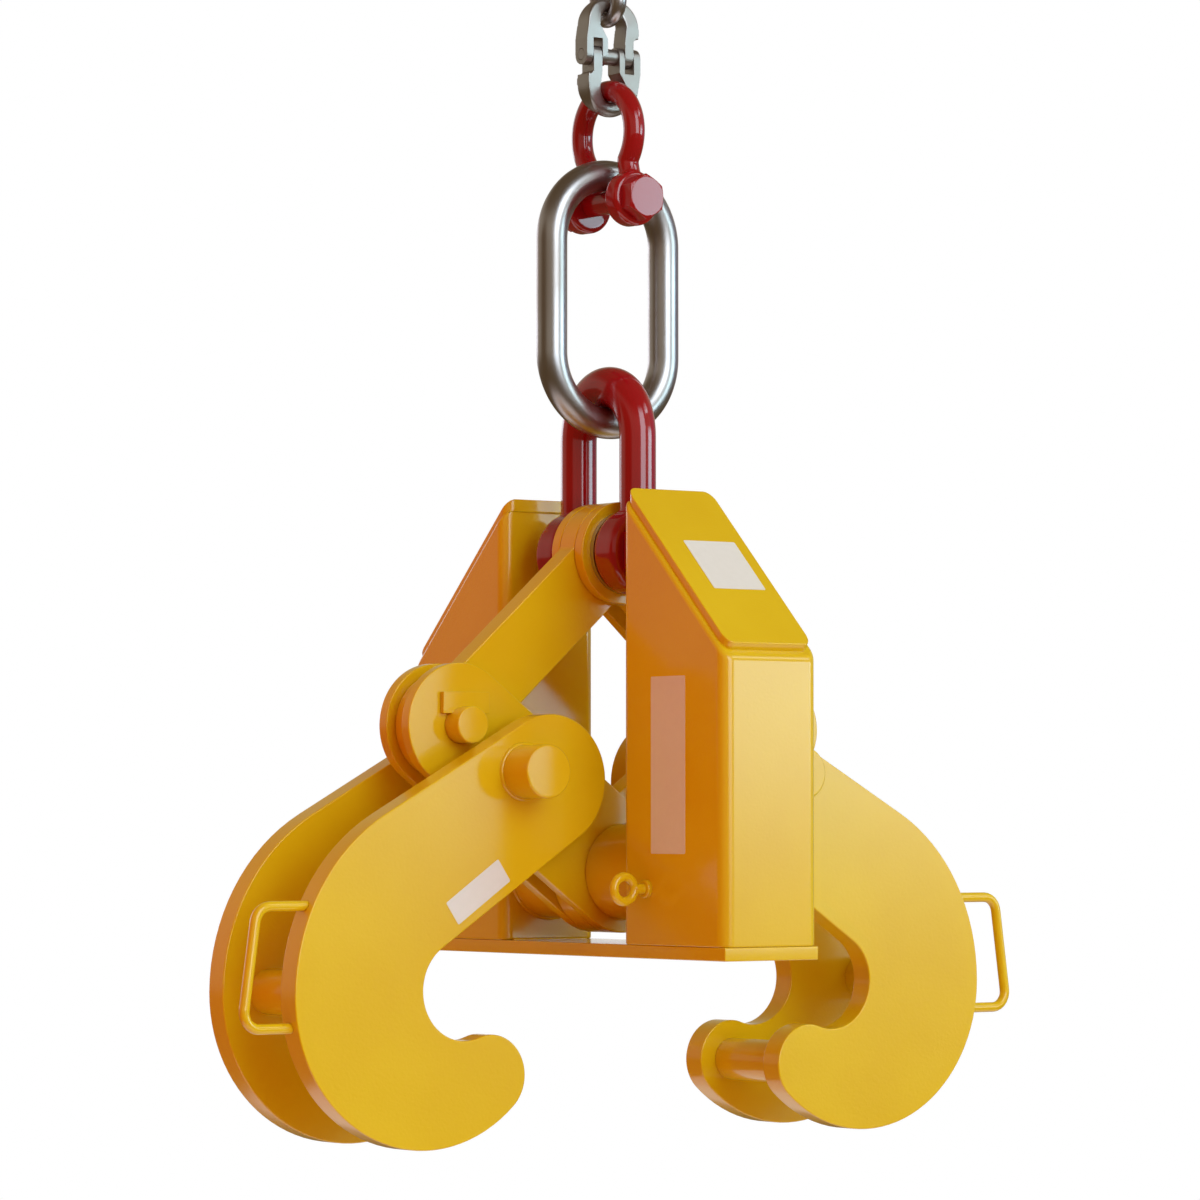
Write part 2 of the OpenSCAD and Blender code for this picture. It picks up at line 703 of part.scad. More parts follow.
// A half of the coupling link: a bow, a fork on the left that flares out of its leg, a tongue on the right
module coupler_half() {
    leg_out_x = coupler_leg_x + coupler_bar_r;
    leg_in_x = coupler_leg_x - coupler_bar_r;
    color(steel) difference() {
        union() {
            translate([0, 0, coupler_bow_z]) rotate([90, 0, 0])
                rotate_extrude(angle = 180) translate([coupler_leg_x, 0]) circle(coupler_bar_r);
            lug([[-fork_out_x, 0], [-fork_in_x, 0], [-fork_in_x, shoulder_z], [-leg_in_x, coupler_bow_z],
                 [-leg_out_x, coupler_bow_z], [-fork_out_x, shoulder_z]]);
            lug([[tongue_in_x, 0], [tongue_out_x, 0], [tongue_out_x, shoulder_z],
                 [leg_out_x, (shoulder_z + coupler_bow_z) / 2], [leg_out_x, coupler_bow_z],
                 [leg_in_x, coupler_bow_z], [tongue_in_x, shoulder_z]]);
        }
        translate([-tongue_x - slot_w / 2, -lug_t, -lug_t]) cube([slot_w, 2 * lug_t, lug_t + shoulder_z]);
        bar_x(-fork_out_x - cut, fork_out_x + cut, load_pin_r + run);
    }
}

module coupler_upper_half() {
    translate([0, 0, load_pin_z]) coupler_half();
}

module coupler_lower_half() {
    translate([0, 0, load_pin_z]) rotate([0, 180, 0]) coupler_half();
}

module coupler_load_pin() {
    color(steel) translate([0, 0, load_pin_z]) bar_x(-fork_out_x, fork_out_x, load_pin_r);
}

module coupler_bushing() {
    reach = fork_in_x - seat;
    color(steel) translate([0, 0, load_pin_z]) difference() {
        bar_x(-reach, reach, load_pin_r + bushing_wall);
        bar_x(-reach - cut, reach + cut, load_pin_r + run);
    }
}

// Nodes

color(steel) oblong_link(chain_low_z, chain_in_l, chain_in_w, chain_bar_d, 90);  // chain_link
coupler_upper_half();
coupler_load_pin();
coupler_bushing();
coupler_lower_half();
small_shackle_bow();
small_shackle_bolt();
small_shackle_nut();
small_shackle_cotter();
color(steel) oblong_link(master_low_z, master_in_l, master_in_w, master_bar_d, 0);  // master_link
main_shackle_bow();
main_shackle_bolt();
main_shackle_nut();
main_shackle_cotter();
pin_spacers();
color(paint) on_left()  // upper_link_left
    upper_link(-single_y, single_y, top_pin_r + bush_wall + run, knuckle_r + bush_wall + run);
color(bronze)  // top_bush_left
    tube_y(top_pin, top_pin_r + bush_wall, top_pin_r + run, -single_y, single_y);
color(bronze) on_left()  // knuckle_bush_left
    tube_y(knuckle, knuckle_r + bush_wall, knuckle_r + run, -single_y, single_y);
color(paint)  // upper_link_right_front
    upper_link(-pair_out_y, -pair_in_y, top_pin_r + bush_wall + run, knuckle_r + run);
color(paint)  // upper_link_right_rear
    upper_link(pair_in_y, pair_out_y, top_pin_r + bush_wall + run, knuckle_r + run);
color(bronze) both_sides_y()  // top_bushes_right
    tube_y(top_pin, top_pin_r + bush_wall, top_pin_r + run, pair_in_y, pair_out_y);
knuckle_pin();  // knuckle_pin_right
pin_keepers();  // pin_keepers_right
color(paint) on_left()  // lower_link_left_front
    lower_link(-pair_out_y, -pair_in_y, shaft_r + bush_wall + run, knuckle_r + run);
color(paint) on_left()  // lower_link_left_rear
    lower_link(pair_in_y, pair_out_y, shaft_r + bush_wall + run, knuckle_r + run);
color(bronze) both_sides_y()  // centre_bushes_left
    tube_y(centre, shaft_r + bush_wall, shaft_r + run, pair_in_y, pair_out_y);
on_left() knuckle_pin();  // knuckle_pin_left
on_left() pin_keepers();  // pin_keepers_left
on_left() mirror([0, 1, 0]) hook();  // hook_left_front
on_left() hook();  // hook_left_rear
on_left() hook_spacer();  // hook_spacer_left
on_left() stop_pegs();  // stop_pegs_left
on_left() toe_bar();  // toe_bar_left
on_left() heel_bar();  // heel_bar_left
on_left() handle();  // handle_left
color(paint)  // lower_link_right
    lower_link(-single_y, single_y, shaft_r + open_play, knuckle_r + bush_wall + run);
color(bronze)  // knuckle_bush_right
    tube_y(knuckle, knuckle_r + bush_wall, knuckle_r + run, -single_y, single_y);
mirror([0, 1, 0]) hook();  // hook_right_front
hook();  // hook_right_rear
hook_spacer();  // hook_spacer_right
stop_pegs();  // stop_pegs_right
toe_bar();  // toe_bar_right
heel_bar();  // heel_bar_right
handle();  // handle_right
base_plate();
mirror([0, 1, 0]) column();  // column_front
column();  // column_rear
mirror([0, 1, 0]) column_cap();  // column_cap_front
column_cap();  // column_cap_rear
mirror([0, 1, 0]) pivot_tube();  // pivot_tube_front
pivot_tube();  // pivot_tube_rear
centre_shaft();
eye_bolt();
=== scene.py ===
import json
import math

import bmesh
import bpy
from mathutils import Matrix, Vector


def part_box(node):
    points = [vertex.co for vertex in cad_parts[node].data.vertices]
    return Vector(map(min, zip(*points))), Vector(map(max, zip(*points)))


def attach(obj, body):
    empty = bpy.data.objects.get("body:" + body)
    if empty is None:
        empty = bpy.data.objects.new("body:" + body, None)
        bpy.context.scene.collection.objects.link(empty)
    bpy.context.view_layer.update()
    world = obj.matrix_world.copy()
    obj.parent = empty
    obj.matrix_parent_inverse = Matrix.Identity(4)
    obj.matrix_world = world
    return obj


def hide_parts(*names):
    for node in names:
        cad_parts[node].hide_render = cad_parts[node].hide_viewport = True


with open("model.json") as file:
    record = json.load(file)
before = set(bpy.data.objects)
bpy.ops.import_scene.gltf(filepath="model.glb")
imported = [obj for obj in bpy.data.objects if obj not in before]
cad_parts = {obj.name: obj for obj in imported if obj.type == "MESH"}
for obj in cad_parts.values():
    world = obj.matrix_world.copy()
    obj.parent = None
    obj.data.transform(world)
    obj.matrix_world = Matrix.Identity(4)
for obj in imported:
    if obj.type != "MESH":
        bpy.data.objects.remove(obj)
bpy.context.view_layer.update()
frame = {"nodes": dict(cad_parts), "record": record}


# Base plate and columns
# The welded frame that sits on the beam: a flat bar with two cut lengths of rectangular tube on it, each
# closed by a slanted plate. It is flame cut, ground along its edges, welded and sprayed yellow.

column_edge = 0.0022
top_edge = 0.006
plate_edge = 0.0016
edge_steps = 3
top_edge_steps = 6
sharp_from = math.radians(30)
flat_within = math.radians(0.3)
same_point = 2e-6
on_face = 0.0005
upright_below = 0.1
slanted_above = 0.3
corner_r = 0.015
cap_inset = 0.005
cap_setback = 0.0015
cap_sink = 0.0025
foot_bead_r = 0.0026
bead_sides = 12
ripple = 0.0042
ripple_depth = 0.06
ripple_steps = 4.0
yellow = (0.77, 0.510, 0.004, 1)
deep_yellow = (0.75, 0.483, 0.003, 1)
pale_yellow = (0.79, 0.535, 0.006, 1)


class Wire:
    """One output of a shader node. Arithmetic on wires adds Math nodes to the tree."""

    def __init__(self, tree, socket=None):
        self.tree = tree
        self.socket = socket

    def add(self, kind, settings=None, inputs=None, output=0):
        """Adds a node with its settings, then the values or links of its inputs, and gives one output."""
        node = self.tree.nodes.new(kind)
        for name, value in (settings or {}).items():
            if name == "stops":
                ramp = node.color_ramp.elements
                ramp[0].position, ramp[0].color = value[0]
                ramp[1].position, ramp[1].color = value[-1]
                for place, colour in value[1:-1]:
                    ramp.new(place).color = colour
            else:
                setattr(node, name, value)
        for key, value in (inputs or {}).items():
            if isinstance(value, Wire):
                self.tree.links.new(value.socket, node.inputs[key])
            else:
                node.inputs[key].default_value = value
        return Wire(self.tree, node.outputs[output])

    def maths(self, operation, a, b=0.0):
        return self.add("ShaderNodeMath", {"operation": operation}, {0: a, 1: b})

    def __add__(self, other):
        return self.maths("ADD", self, other)

    def __sub__(self, other):
        return self.maths("SUBTRACT", self, other)

    def __mul__(self, other):
        return self.maths("MULTIPLY", self, other)

    def __rsub__(self, other):
        return self.maths("SUBTRACT", other, self)

    __radd__ = __add__
    __rmul__ = __mul__

    def between(self, low, high):
        """Goes from 0 to 1 as the wire goes from low to high, with soft ends."""
        return self.add("ShaderNodeMapRange", {"interpolation_type": "SMOOTHSTEP"},
                        {"Value": self, "From Min": low, "From Max": high})

    def mix(self, factor, a, b):
        """Mixes two colours, by the node's colour sockets: its inputs 6 and 7 and its output 2."""
        return self.add("ShaderNodeMix", {"data_type": "RGBA"}, {0: factor, 6: a, 7: b}, 2)

    def noise(self, scale, detail=2.0, rough=0.5, stretch=None):
        """Noise on the object's own coordinates. stretch scales them along X, Y and Z first."""
        place = self.add("ShaderNodeTexCoord", output="Object")
        if stretch:
            place = self.add("ShaderNodeVectorMath", {"operation": "MULTIPLY"}, {0: place, 1: stretch})
        return self.add("ShaderNodeTexNoise", {}, {"Vector": place, "Scale": scale, "Detail": detail,
                                                   "Roughness": rough})

    def bump(self, height, strength, distance):
        return self.add("ShaderNodeBump", {}, {"Height": height, "Strength": strength, "Distance": distance})


def socket_name(key):
    """The shader's own name for a socket, such as Specular IOR Level for specular_ior_level."""
    return key.replace("_", " ").title().replace("Ior", "IOR")


def material(name, **fixed):
    """A new material, as itself and its tree, with the shader's fixed values set."""
    made = bpy.data.materials.new(name)
    made.use_nodes = True
    shader = made.node_tree.nodes["Principled BSDF"]
    for key, value in fixed.items():
        shader.inputs[socket_name(key)].default_value = value
    return made, Wire(made.node_tree)


def link(tree, **links):
    """Links wires to the shader's sockets."""
    shader = tree.tree.nodes["Principled BSDF"]
    for key, wire in links.items():
        tree.tree.links.new(wire.socket, shader.inputs[socket_name(key)])


def sprayed_paint(name, low, middle, high, roughness, coat, coat_roughness, peel):
    """Sprayed enamel: faint drifts of colour, an orange peel surface and a little dust in the film."""
    made, tree = material(name, metallic=0.0, specular_ior_level=0.12, coat_weight=coat,
                          coat_roughness=coat_roughness, coat_ior=1.6)
    drift = tree.noise(scale=5.0, detail=3.0)
    speck = tree.noise(scale=900.0, detail=1.0).between(0.74, 0.82)
    peeled = tree.noise(scale=300.0, rough=0.45)
    stops = [(0.34, low), (0.52, middle), (0.70, high)]
    colour = tree.add("ShaderNodeValToRGB", {"stops": stops}, {0: drift})
    dust = tuple(c * 0.8 + 0.06 for c in middle[:3]) + (1,)
    link(tree, base_color=tree.mix(speck * 0.06, colour, dust),
         roughness=drift * 0.05 + peeled * 0.04 + roughness,
         normal=tree.bump(peeled, strength=peel, distance=0.0005))
    return made


yellow_paint = sprayed_paint("yellow_paint", deep_yellow, yellow, pale_yellow, roughness=0.27, coat=0.8,
                             coat_roughness=0.14, peel=0.42)


def plain_mesh(thing):
    """The evaluated mesh of an object that was only a means, which is removed."""
    bpy.context.view_layer.update()
    made = bpy.data.meshes.new_from_object(thing.evaluated_get(bpy.context.evaluated_depsgraph_get()))
    old = thing.data
    bpy.data.objects.remove(thing)
    bpy.data.meshes.remove(old)
    return made


def helper(mesh):
    """An object that is only a means, for modifiers to work on a mesh."""
    thing = bpy.data.objects.new("helper", mesh)
    bpy.context.scene.collection.objects.link(thing)
    return thing


def eased(node, width, rounder=None, round_width=0.0):
    """A copy of a node with its sharp edges rounded. rounder picks edges that get a larger rounding first."""
    mesh = frame["nodes"][node].data.copy()
    shape = bmesh.new()
    shape.from_mesh(mesh)
    bmesh.ops.remove_doubles(shape, verts=shape.verts, dist=same_point)
    bmesh.ops.dissolve_limit(shape, angle_limit=flat_within, verts=shape.verts, edges=shape.edges)
    if rounder:
        picked = [e for e in shape.edges if e.calc_face_angle(0) > sharp_from and rounder(e)]
        bmesh.ops.bevel(shape, geom=picked, offset=round_width, segments=top_edge_steps, profile=0.5,
                        affect="EDGES", clamp_overlap=False)
    for face in shape.faces:
        face.smooth = True
    shape.to_mesh(mesh)
    shape.free()
    thing = helper(mesh)
    bevel = thing.modifiers.new("edges", "BEVEL")
    bevel.width = width
    bevel.segments = edge_steps
    bevel.limit_method = "ANGLE"
    bevel.angle_limit = sharp_from
    bevel.use_clamp_overlap = False
    thing.modifiers.new("weld", "WELD").merge_threshold = same_point
    normals = thing.modifiers.new("normals", "WEIGHTED_NORMAL")
    normals.mode = "FACE_AREA"
    return plain_mesh(thing)


def body_of(node):
    """The name of the body that carries a CAD node."""
    return next(body for body, nodes in frame["record"]["behaviour"]["bodies"].items() if node in nodes)


def finished(name, mesh, finish):
    """The object of a finished piece, with its one material."""
    mesh.materials.clear()
    mesh.materials.append(finish)
    thing = bpy.data.objects.new(name, mesh)
    bpy.context.scene.collection.objects.link(thing)
    return thing


def stand_in(name, mesh, finish, node):
    """Puts a finished mesh in place of a CAD node, on the body that carries it."""
    thing = finished(name, mesh, finish)
    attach(thing, body_of(node))
    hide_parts(node)


def added(name, mesh, finish, body):
    """Puts a small piece that no CAD node stands for on a body."""
    thing = finished(name, mesh, finish)
    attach(thing, body)


def node_maths(tree, operation, a, b=0.0):
    """A Math node in a Geometry Nodes tree, between sockets or numbers."""
    node = tree.nodes.new("ShaderNodeMath")
    node.operation = operation
    for key, value in ((0, a), (1, b)):
        if isinstance(value, bpy.types.NodeSocket):
            tree.links.new(value, node.inputs[key])
        else:
            node.inputs[key].default_value = value
    return node.outputs[0]


def new_tree(name, *sizes):
    """An empty Geometry Nodes tree with a mesh, sizes and a material going in, and a mesh coming out."""
    tree = bpy.data.node_groups.new(name, "GeometryNodeTree")
    tree.interface.new_socket("Geometry", in_out="OUTPUT", socket_type="NodeSocketGeometry")
    tree.interface.new_socket("Geometry", in_out="INPUT", socket_type="NodeSocketGeometry")
    for size in sizes:
        tree.interface.new_socket(size, in_out="INPUT", socket_type="NodeSocketFloat")
    tree.interface.new_socket("Material", in_out="INPUT", socket_type="NodeSocketMaterial")
    return tree, tree.nodes.new("NodeGroupInput").outputs


def sweep_out(tree, given, route, bar_r, sides):
    """Ends a tree: sweeps a round bar along a route, makes it real and gives it its material."""
    profile = tree.nodes.new("GeometryNodeCurvePrimitiveCircle")
    profile.inputs["Resolution"].default_value = sides
    tree.links.new(bar_r, profile.inputs["Radius"])
    skin = tree.nodes.new("GeometryNodeCurveToMesh")
    skin.inputs["Fill Caps"].default_value = True
    tree.links.new(route, skin.inputs["Curve"])
    tree.links.new(profile.outputs["Curve"], skin.inputs["Profile Curve"])
    real = tree.nodes.new("GeometryNodeRealizeInstances")
    tree.links.new(skin.outputs["Mesh"], real.inputs[0])
    paint = tree.nodes.new("GeometryNodeSetMaterial")
    tree.links.new(real.outputs[0], paint.inputs["Geometry"])
    tree.links.new(given["Material"], paint.inputs["Material"])
    tree.links.new(paint.outputs[0], tree.nodes.new("NodeGroupOutput").inputs[0])


def bead_tree():
    """A tree that lays a rippled round bead along the edges of a mesh."""
    tree, given = new_tree("weld_bead", "Radius", "Ripple", "Depth")
    line = tree.nodes.new("GeometryNodeMeshToCurve")
    tree.links.new(given["Geometry"], line.inputs["Mesh"])
    even = tree.nodes.new("GeometryNodeResampleCurve")
    even.mode = "LENGTH"
    tree.links.new(line.outputs["Curve"], even.inputs["Curve"])
    tree.links.new(node_maths(tree, "DIVIDE", given["Ripple"], ripple_steps), even.inputs["Length"])
    along = tree.nodes.new("GeometryNodeSplineParameter").outputs["Length"]
    turn = node_maths(tree, "MULTIPLY", node_maths(tree, "DIVIDE", along, given["Ripple"]), 2 * math.pi)
    wave = node_maths(tree, "MULTIPLY", node_maths(tree, "SINE", turn), given["Depth"])
    swell = tree.nodes.new("GeometryNodeSetCurveRadius")
    tree.links.new(even.outputs["Curve"], swell.inputs["Curve"])
    tree.links.new(node_maths(tree, "ADD", wave, 1.0), swell.inputs["Radius"])
    sweep_out(tree, given, swell.outputs["Curve"], given["Radius"], bead_sides)
    return tree


weld_bead = bead_tree()


def with_tree(mesh, tree, **values):
    """The mesh that a Geometry Nodes tree makes of a mesh, turned outwards and shaded smooth."""
    thing = helper(mesh)
    nodes = thing.modifiers.new("nodes", "NODES")
    nodes.node_group = tree
    for item in tree.interface.items_tree:
        if item.in_out == "INPUT" and item.name in values:
            nodes[item.identifier] = values[item.name]
    made = plain_mesh(thing)
    shape = bmesh.new()
    shape.from_mesh(made)
    bmesh.ops.remove_doubles(shape, verts=shape.verts, dist=same_point)
    bmesh.ops.recalc_face_normals(shape, faces=shape.faces)
    for face in shape.faces:
        face.smooth = True
    shape.to_mesh(made)
    shape.free()
    return made


def bead(route, closed, radius):
    """A weld bead along a route of points."""
    line = bpy.data.meshes.new("route")
    edges = [(i, i + 1) for i in range(len(route) - 1)]
    line.from_pydata(route, edges + [(len(route) - 1, 0)] if closed else edges, [])
    return with_tree(line, weld_bead, Radius=radius, Ripple=ripple, Depth=ripple_depth, Material=yellow_paint)


def top_fall(end):
    """How far a column's slanted top falls for each metre outwards."""
    low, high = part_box("column_" + end)
    outer_y = low.y if end == "front" else high.y
    outer_z = max(v.co.z for v in frame["nodes"]["column_" + end].data.vertices
                  if abs(v.co.y - outer_y) < on_face)
    return (high.z - outer_z) / (high.y - low.y)


def top_rim(middle):
    """Picks the edges of the outer rim of a tube's slanted top, given the tube's middle."""
    def on_rim(edge):
        ups = sorted(face.normal.z for face in edge.link_faces)
        side = min(edge.link_faces, key=lambda face: face.normal.z)
        away = (edge.verts[0].co + edge.verts[1].co) / 2 - middle
        outside = side.normal.x * away.x + side.normal.y * away.y > 0
        return ups[1] > slanted_above and abs(ups[0]) < upright_below and outside

    return on_rim


stand_in("base_plate_painted", eased("base_plate", plate_edge), yellow_paint, "base_plate")
base_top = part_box("base_plate")[1].z
falls = {end: top_fall(end) for end in ("front", "rear")}
for end, fall in falls.items():
    low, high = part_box("column_" + end)
    outer_y, inner_y = (low.y, high.y) if end == "front" else (high.y, low.y)
    tube = eased("column_" + end, column_edge, top_rim((low + high) / 2), top_edge)
    stand_in("column_painted_" + end, tube, yellow_paint, "column_" + end)
    cap = eased("column_cap_" + end, plate_edge)
    cap_low, cap_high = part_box("column_cap_" + end)
    length, thick = high.y - low.y, cap_high.z - high.z
    slope = math.atan(fall)
    overhang = math.sin(slope) * math.cos(slope)
    narrower = 1 - 2 * cap_inset / (cap_high.x - cap_low.x)
    for vert in cap.vertices:
        part = abs(vert.co.y - inner_y) / length
        over = vert.co.z - (high.z - part * length * fall)
        along = part * (length - thick * overhang - cap_setback) + over * overhang * part
        vert.co = (vert.co.x * narrower, inner_y + math.copysign(along, outer_y),
                   high.z - along * fall + over - (cap_sink if over < thick / 2 else 0))
    stand_in("column_cap_painted_" + end, cap, yellow_paint, "column_cap_" + end)
    foot = [Vector((x, inner_y, base_top)) for x in (low.x + corner_r, high.x - corner_r)]
    added("column_weld_" + end, bead(foot, False, foot_bead_r), yellow_paint, "frame")


# Label foils
# Thin printing foils on the front column's side, on its cap and on the left hook. They are left blank.

foil_t = 0.0003
foil_corner = 0.002
foil_corner_step = 15
foil_white = (0.80, 0.79, 0.76, 1)
side_foil = (0.067, 0.211)
side_foil_from_edge = 0.094
side_foil_z = 0.2306
cap_foil = (0.0775, 0.086)
cap_foil_x = 0.0085
cap_foil_from_edge = 0.0994
hook_foil = (0.0905, 0.0315)
hook_foil_x = -0.2601
hook_foil_z = 0.0803
hook_foil_turn = math.radians(34.5)


def printing_foil(name, colour):
    """Satin vinyl: one plain colour, a little uneven where it follows the paint under it."""
    made, tree = material(name, metallic=0.0)
    uneven = tree.noise(scale=120.0)
    link(tree, base_color=tree.mix(uneven, colour, tuple(c * 0.95 for c in colour[:3]) + (1,)),
         roughness=uneven * 0.08 + 0.36, normal=tree.bump(uneven, strength=0.05, distance=0.0004))
    return made


def round_corners(x0, x1, y0, y1, r, step):
    """The points of a rectangle with round corners."""
    middles = ((x1 - r, y1 - r, 0), (x0 + r, y1 - r, 90), (x0 + r, y0 + r, 180), (x1 - r, y0 + r, 270))
    return [(x + r * math.cos(math.radians(a + turn)), y + r * math.sin(math.radians(a + turn)))
            for x, y, a in middles for turn in range(0, 91, step)]


def foil_plate(size, place):
    """A thin plate with round corners, built flat with +Z as its face, then put in its place."""
    shape = bmesh.new()
    outline = round_corners(-size[0] / 2, size[0] / 2, -size[1] / 2, size[1] / 2, foil_corner,
                            foil_corner_step)
    top = [shape.verts.new((x, y, foil_t)) for x, y in outline]
    under = [shape.verts.new((x, y, -foil_t)) for x, y in outline]
    shape.faces.new(top)
    shape.faces.new(under[::-1])
    for i in range(len(outline)):
        k = (i + 1) % len(outline)
        shape.faces.new((under[i], under[k], top[k], top[i]))
    mesh = bpy.data.meshes.new("foil")
    shape.to_mesh(mesh)
    shape.free()
    mesh.transform(place)
    return mesh


def facing(right, up, place):
    """Turns a flat plate's own right and up to the given directions, at a place."""
    right, up = Vector(right).normalized(), Vector(up).normalized()
    return Matrix.Translation(place) @ Matrix((right, up, right.cross(up))).transposed().to_4x4()


foil = printing_foil("label_foil", foil_white)
low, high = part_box("column_front")
added("side_label", foil_plate(side_foil, facing((0, -1, 0), (0, 0, 1),
                                                 (low.x, high.y - side_foil_from_edge, side_foil_z))),
      foil, "frame")
cap_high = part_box("column_cap_front")[1]
fall = falls["front"]
added("cap_label", foil_plate(cap_foil, facing((1, 0, 0), (0, 1, fall),
                                               (cap_foil_x, cap_high.y - cap_foil_from_edge,
                                                cap_high.z - cap_foil_from_edge * fall))),
      foil, "frame")
added("hook_label", foil_plate(hook_foil, facing((math.cos(hook_foil_turn), 0, math.sin(hook_foil_turn)),
                                                 (-math.sin(hook_foil_turn), 0, math.cos(hook_foil_turn)),
                                                 (hook_foil_x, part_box("hook_left_front")[0].y, hook_foil_z))),
      foil, "lever_left")


# Tag line eye
# A forged eye bolt with a round collar, screwed into the front column and painted with it.

eye_swell = 0.0011
eye_voxel = 0.0005
eye_softening = 5


def forged(mesh, voxel, rounds, swell=0.0):
    """Fuses solids into one skin, swells it and softens where they meet, as a forging die does."""
    thing = helper(mesh)
    fuse = thing.modifiers.new("fuse", "REMESH")
    fuse.mode = "VOXEL"
    fuse.voxel_size = voxel
    fuse.use_smooth_shade = True
    grow = thing.modifiers.new("grow", "DISPLACE")
    grow.strength = swell
    grow.mid_level = 0.0
    soften = thing.modifiers.new("soften", "SMOOTH")
    soften.factor = 0.5
    soften.iterations = rounds
    return plain_mesh(thing)


def copy_of(node):
    """A copy of a CAD node's mesh."""
    return frame["nodes"][node].data.copy()


stand_in("tag_eye_painted", forged(copy_of("eye_bolt"), eye_voxel, eye_softening, eye_swell),
         yellow_paint, "eye_bolt")


# Centre shaft and pivot tubes
# A turned shaft through two thick tubes that are welded to the columns. The levers turn on it between them.

tube_edge = 0.0015
tube_bead_r = 0.0032


def turned_metal(name, colour, roughness):
    """Metal from the lathe, with fine marks of the tool and patches of oil."""
    made, tree = material(name, metallic=1.0)
    grooves = tree.noise(scale=1500.0)
    patch = tree.noise(scale=30.0, detail=3.0)
    link(tree, base_color=tree.mix(patch, colour, tuple(c * 0.78 for c in colour[:3]) + (1,)),
         roughness=grooves * 0.12 + patch * 0.10 + roughness,
         normal=tree.bump(grooves, strength=0.15, distance=0.0002))
    return made


def refinish(node, finish):
    """Gives a CAD node that keeps its shape its material."""
    frame["nodes"][node].data.materials.clear()
    frame["nodes"][node].data.materials.append(finish)


def circle_route(x, z, y, r, points=96):
    """Points on a circle about an axis along Y."""
    turns = [2 * math.pi * i / points for i in range(points)]
    return [Vector((x + r * math.cos(turn), y, z + r * math.sin(turn))) for turn in turns]


shaft_steel = turned_metal("shaft_steel", (0.52, 0.51, 0.50, 1), roughness=0.24)
refinish("centre_shaft", shaft_steel)
for end in ("front", "rear"):
    low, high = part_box("pivot_tube_" + end)
    stand_in("pivot_tube_painted_" + end, eased("pivot_tube_" + end, tube_edge), yellow_paint,
             "pivot_tube_" + end)
    face_y = low.y if end == "front" else high.y
    route = circle_route((low.x + high.x) / 2, (low.z + high.z) / 2, face_y, (high.x - low.x) / 2)
    added("tube_weld_" + end, bead(route, True, tube_bead_r), yellow_paint, "frame")


# Lower links
# Flame-cut steel bars with round ends: two thin ones on the left, and a thick one on the right between
# them. Their bores and those of the upper links hold turned bronze bushes.

link_edge = 0.0016
bronze = turned_metal("bronze", (0.58, 0.36, 0.13, 1), roughness=0.30)
for node in ("lower_link_left_front", "lower_link_left_rear", "lower_link_right"):
    stand_in(node + "_painted", eased(node, link_edge), yellow_paint, node)
for node in ("centre_bushes_left", "knuckle_bush_right", "knuckle_bush_left", "top_bush_left",
             "top_bushes_right"):
    refinish(node, bronze)


# Hooks
# Pairs of thick flame-cut plates, joined by a spacer, a toe bar and a heel bar, with a stop peg through each
# plate. The pegs are welded in and everything is painted together.

hook_edge = 0.0018
peg_round = 0.0024
peg_bead_r = 0.0032
bar_round = 0.001
turned_sides = 96


def add_ear(shape, x, z, radius, y0, y1, round_r, sides=72):
    """Adds a round bar or ear about an axis along Y, with rounded rims."""
    rows = []
    for rim_y, inward, turns in ((y0, 1, range(0, 91, 15)), (y1, -1, range(90, -1, -15))):
        for a in turns:
            y = rim_y + inward * round_r * (1 - math.cos(math.radians(a)))
            r = radius - round_r * (1 - math.sin(math.radians(a)))
            rows.append([shape.verts.new((x + r * math.cos(2 * math.pi * k / sides), y,
                                          z + r * math.sin(2 * math.pi * k / sides))) for k in range(sides)])
    for a, b in zip(rows, rows[1:]):
        for k in range(sides):
            shape.faces.new((a[k], b[k], b[(k + 1) % sides], a[(k + 1) % sides])).smooth = True
    shape.faces.new(rows[0])
    shape.faces.new(rows[-1][::-1])


def as_mesh(shape, name):
    """Ends a shape in the making: turns its faces outwards and gives its mesh."""
    bmesh.ops.recalc_face_normals(shape, faces=shape.faces)
    mesh = bpy.data.meshes.new(name)
    shape.to_mesh(mesh)
    shape.free()
    return mesh


def turned_bars(node, round_r, bars):
    """Round bars that fill a node's box in X and Z, with rounded rims. bars holds each one's two ends."""
    low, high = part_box(node)
    shape = bmesh.new()
    for y0, y1 in bars:
        add_ear(shape, (low.x + high.x) / 2, (low.z + high.z) / 2, (high.z - low.z) / 2, y0, y1, round_r,
                turned_sides)
    return as_mesh(shape, node)


for side in ("left", "right"):
    peg_low, peg_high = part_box("stop_pegs_" + side)
    peg_r = (peg_high.z - peg_low.z) / 2
    for end in ("front", "rear"):
        node = "hook_" + side + "_" + end
        stand_in(node + "_painted", eased(node, hook_edge), yellow_paint, node)
        low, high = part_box(node)
        face_y = low.y if end == "front" else high.y
        route = circle_route((peg_low.x + peg_high.x) / 2, (peg_low.z + peg_high.z) / 2, face_y, peg_r)
        added("peg_weld_" + side + "_" + end, bead(route, True, peg_bead_r), yellow_paint,
              "lever_" + side)
    inner_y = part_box("hook_" + side + "_rear")[0].y
    stand_in("stop_pegs_" + side + "_painted",
             turned_bars("stop_pegs_" + side, peg_round, ((peg_low.y, -inner_y), (inner_y, peg_high.y))),
             yellow_paint, "stop_pegs_" + side)
    for part in ("toe_bar_", "heel_bar_", "hook_spacer_"):
        low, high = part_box(part + side)
        stand_in(part + side + "_painted", turned_bars(part + side, bar_round, ((low.y, high.y),)),
                 yellow_paint, part + side)


# Handles
# Bent round steel rods, welded to the backs of the two front hook plates and painted with them. The hooks
# are guided by hand on them.

